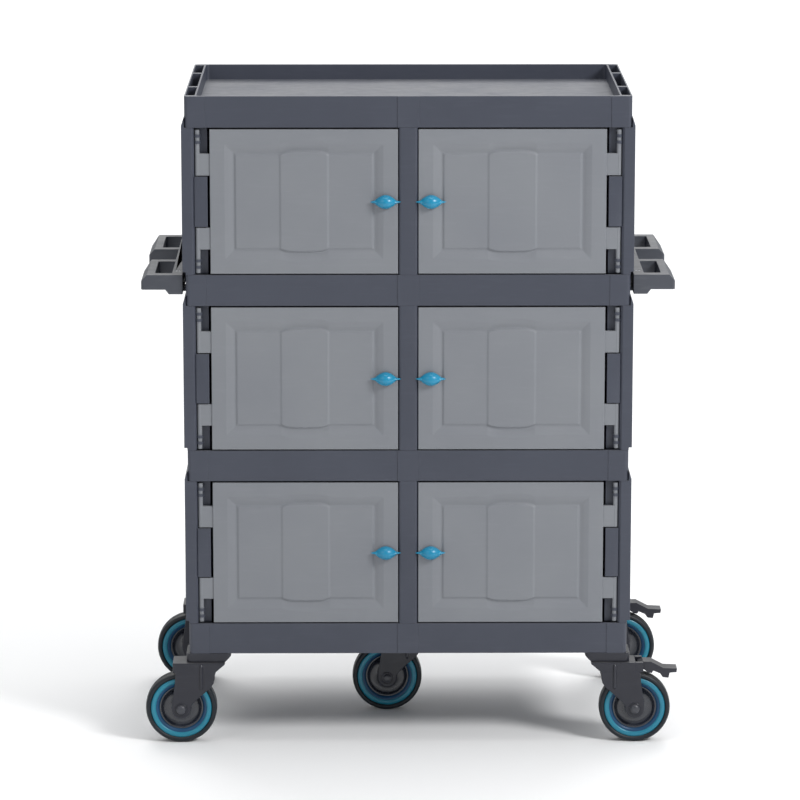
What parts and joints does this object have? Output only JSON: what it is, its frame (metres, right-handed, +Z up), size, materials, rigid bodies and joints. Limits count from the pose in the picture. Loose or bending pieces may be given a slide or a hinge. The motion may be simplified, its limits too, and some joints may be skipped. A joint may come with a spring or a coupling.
{
  "type": "housekeeping cart",
  "caption": "Closed housekeeping trolley with hinged cupboard doors in three rows, a recessed top tray, side push handles and swivel castors.",
  "frame": {"origin": "on the floor under the middle of the cart", "axes": "+Z up, +X to the cart's right seen from the front, +Y to its back, doors face -Y"},
  "size_m": [0.9325, 0.4785, 1.1431],
  "materials": {
    "body_plastic": "fine grained, dark blue grey",
    "door_plastic": "fine grained, light grey",
    "latch_plastic": "satin cyan",
    "handle_plastic": "fine grained, dark grey",
    "castor_plastic": "satin dark grey",
    "tyre_rubber": "smooth dark rubber",
    "ring_plastic": "satin cyan",
    "steel": "zinc plated"
  },
  "bodies": {
    "cart": {"base_tray": "body_plastic", "lower_shelf": "body_plastic", "upper_shelf": "body_plastic", "top_tray": "body_plastic", "side_panels_left": "body_plastic", "side_panels_right": "body_plastic", "back_panels": "body_plastic", "centre_posts": "body_plastic", "hinge_keepers": "body_plastic", "push_handle_left": "handle_plastic", "push_handle_right": "handle_plastic", "handle_screws": "steel", "castor_blocks": "castor_plastic", "castor_block_screws": "steel", "kingpins": "steel"},
    "door_top_left": {"door_top_left": "door_plastic"},
    "latch_top_left": {"latch_knob_top_left": "latch_plastic", "latch_cam_top_left": "steel"},
    "door_top_right": {"door_top_right": "door_plastic"},
    "latch_top_right": {"latch_knob_top_right": "latch_plastic", "latch_cam_top_right": "steel"},
    "door_middle_left": {"door_middle_left": "door_plastic"},
    "latch_middle_left": {"latch_knob_middle_left": "latch_plastic", "latch_cam_middle_left": "steel"},
    "door_middle_right": {"door_middle_right": "door_plastic"},
    "latch_middle_right": {"latch_knob_middle_right": "latch_plastic", "latch_cam_middle_right": "steel"},
    "door_bottom_left": {"door_bottom_left": "door_plastic"},
    "latch_bottom_left": {"latch_knob_bottom_left": "latch_plastic", "latch_cam_bottom_left": "steel"},
    "door_bottom_right": {"door_bottom_right": "door_plastic"},
    "latch_bottom_right": {"latch_knob_bottom_right": "latch_plastic", "latch_cam_bottom_right": "steel"},
    "castor_front_right": {"fork_front_right": "castor_plastic", "axle_front_right": "steel"},
    "wheel_front_right": {"hub_front_right": "castor_plastic", "tyre_front_right": "tyre_rubber", "ring_front_right": "ring_plastic"},
    "brake_pedal_front_right": {"brake_pedal_front_right": "handle_plastic"},
    "castor_rear_right": {"fork_rear_right": "castor_plastic", "axle_rear_right": "steel"},
    "wheel_rear_right": {"hub_rear_right": "castor_plastic", "tyre_rear_right": "tyre_rubber", "ring_rear_right": "ring_plastic"},
    "brake_pedal_rear_right": {"brake_pedal_rear_right": "handle_plastic"},
    "castor_front_left": {"fork_front_left": "castor_plastic", "axle_front_left": "steel"},
    "wheel_front_left": {"hub_front_left": "castor_plastic", "tyre_front_left": "tyre_rubber", "ring_front_left": "ring_plastic"},
    "castor_rear_left": {"fork_rear_left": "castor_plastic", "axle_rear_left": "steel"},
    "wheel_rear_left": {"hub_rear_left": "castor_plastic", "tyre_rear_left": "tyre_rubber", "ring_rear_left": "ring_plastic"},
    "castor_centre": {"fork_centre": "castor_plastic", "axle_centre": "steel"},
    "wheel_centre": {"hub_centre": "castor_plastic", "tyre_centre": "tyre_rubber", "ring_centre": "ring_plastic"}
  },
  "joints": [
    {"name": "door_top_left_hinge", "type": "hinge", "parent": "cart", "child": "door_top_left", "pos_m": [-0.3606, -0.2185, 0.9611], "axis": [0, 0, -1], "range_deg": [0, 110]},
    {"name": "latch_top_left_turn", "type": "hinge", "parent": "door_top_left", "child": "latch_top_left", "pos_m": [-0.039, -0.225, 0.9611], "axis": [0, -1, 0], "range_deg": [0, 90]},
    {"name": "door_top_right_hinge", "type": "hinge", "parent": "cart", "child": "door_top_right", "pos_m": [0.3606, -0.2185, 0.9611], "axis": [0, 0, 1], "range_deg": [0, 110]},
    {"name": "latch_top_right_turn", "type": "hinge", "parent": "door_top_right", "child": "latch_top_right", "pos_m": [0.039, -0.225, 0.9611], "axis": [0, 1, 0], "range_deg": [0, 90]},
    {"name": "door_middle_left_hinge", "type": "hinge", "parent": "cart", "child": "door_middle_left", "pos_m": [-0.3606, -0.2185, 0.6521], "axis": [0, 0, -1], "range_deg": [0, 110]},
    {"name": "latch_middle_left_turn", "type": "hinge", "parent": "door_middle_left", "child": "latch_middle_left", "pos_m": [-0.039, -0.225, 0.6521], "axis": [0, -1, 0], "range_deg": [0, 90]},
    {"name": "door_middle_right_hinge", "type": "hinge", "parent": "cart", "child": "door_middle_right", "pos_m": [0.3606, -0.2185, 0.6521], "axis": [0, 0, 1], "range_deg": [0, 110]},
    {"name": "latch_middle_right_turn", "type": "hinge", "parent": "door_middle_right", "child": "latch_middle_right", "pos_m": [0.039, -0.225, 0.6521], "axis": [0, 1, 0], "range_deg": [0, 90]},
    {"name": "door_bottom_left_hinge", "type": "hinge", "parent": "cart", "child": "door_bottom_left", "pos_m": [-0.3606, -0.2185, 0.3431], "axis": [0, 0, -1], "range_deg": [0, 110]},
    {"name": "latch_bottom_left_turn", "type": "hinge", "parent": "door_bottom_left", "child": "latch_bottom_left", "pos_m": [-0.039, -0.225, 0.3431], "axis": [0, -1, 0], "range_deg": [0, 90]},
    {"name": "door_bottom_right_hinge", "type": "hinge", "parent": "cart", "child": "door_bottom_right", "pos_m": [0.3606, -0.2185, 0.3431], "axis": [0, 0, 1], "range_deg": [0, 110]},
    {"name": "latch_bottom_right_turn", "type": "hinge", "parent": "door_bottom_right", "child": "latch_bottom_right", "pos_m": [0.039, -0.225, 0.3431], "axis": [0, 1, 0], "range_deg": [0, 90]},
    {"name": "castor_front_right_swivel", "type": "hinge", "parent": "cart", "child": "castor_front_right", "pos_m": [0.362, -0.207, 0.14], "axis": [0, 0, 1], "continuous": true},
    {"name": "wheel_front_right_spin", "type": "hinge", "parent": "castor_front_right", "child": "wheel_front_right", "pos_m": [0.398, -0.207, 0.0625], "axis": [0, 1, 0], "continuous": true},
    {"name": "brake_pedal_front_right_press", "type": "hinge", "parent": "castor_front_right", "child": "brake_pedal_front_right", "pos_m": [0.408, -0.207, 0.137], "axis": [0, 1, 0], "range_deg": [0, 6]},
    {"name": "castor_rear_right_swivel", "type": "hinge", "parent": "cart", "child": "castor_rear_right", "pos_m": [0.362, 0.207, 0.14], "axis": [0, 0, 1], "continuous": true},
    {"name": "wheel_rear_right_spin", "type": "hinge", "parent": "castor_rear_right", "child": "wheel_rear_right", "pos_m": [0.398, 0.207, 0.0625], "axis": [0, 1, 0], "continuous": true},
    {"name": "brake_pedal_rear_right_press", "type": "hinge", "parent": "castor_rear_right", "child": "brake_pedal_rear_right", "pos_m": [0.408, 0.207, 0.137], "axis": [0, 1, 0], "range_deg": [0, 6]},
    {"name": "castor_front_left_swivel", "type": "hinge", "parent": "cart", "child": "castor_front_left", "pos_m": [-0.362, -0.207, 0.14], "axis": [0, 0, 1], "continuous": true},
    {"name": "wheel_front_left_spin", "type": "hinge", "parent": "castor_front_left", "child": "wheel_front_left", "pos_m": [-0.398, -0.207, 0.0625], "axis": [0, 1, 0], "continuous": true},
    {"name": "castor_rear_left_swivel", "type": "hinge", "parent": "cart", "child": "castor_rear_left", "pos_m": [-0.362, 0.207, 0.14], "axis": [0, 0, 1], "continuous": true},
    {"name": "wheel_rear_left_spin", "type": "hinge", "parent": "castor_rear_left", "child": "wheel_rear_left", "pos_m": [-0.398, 0.207, 0.0625], "axis": [0, 1, 0], "continuous": true},
    {"name": "castor_centre_swivel", "type": "hinge", "parent": "cart", "child": "castor_centre", "pos_m": [0, 0, 0.14], "axis": [0, 0, 1], "continuous": true},
    {"name": "wheel_centre_spin", "type": "hinge", "parent": "castor_centre", "child": "wheel_centre", "pos_m": [-0.036, 0, 0.0625], "axis": [0, 1, 0], "continuous": true}
  ]
}
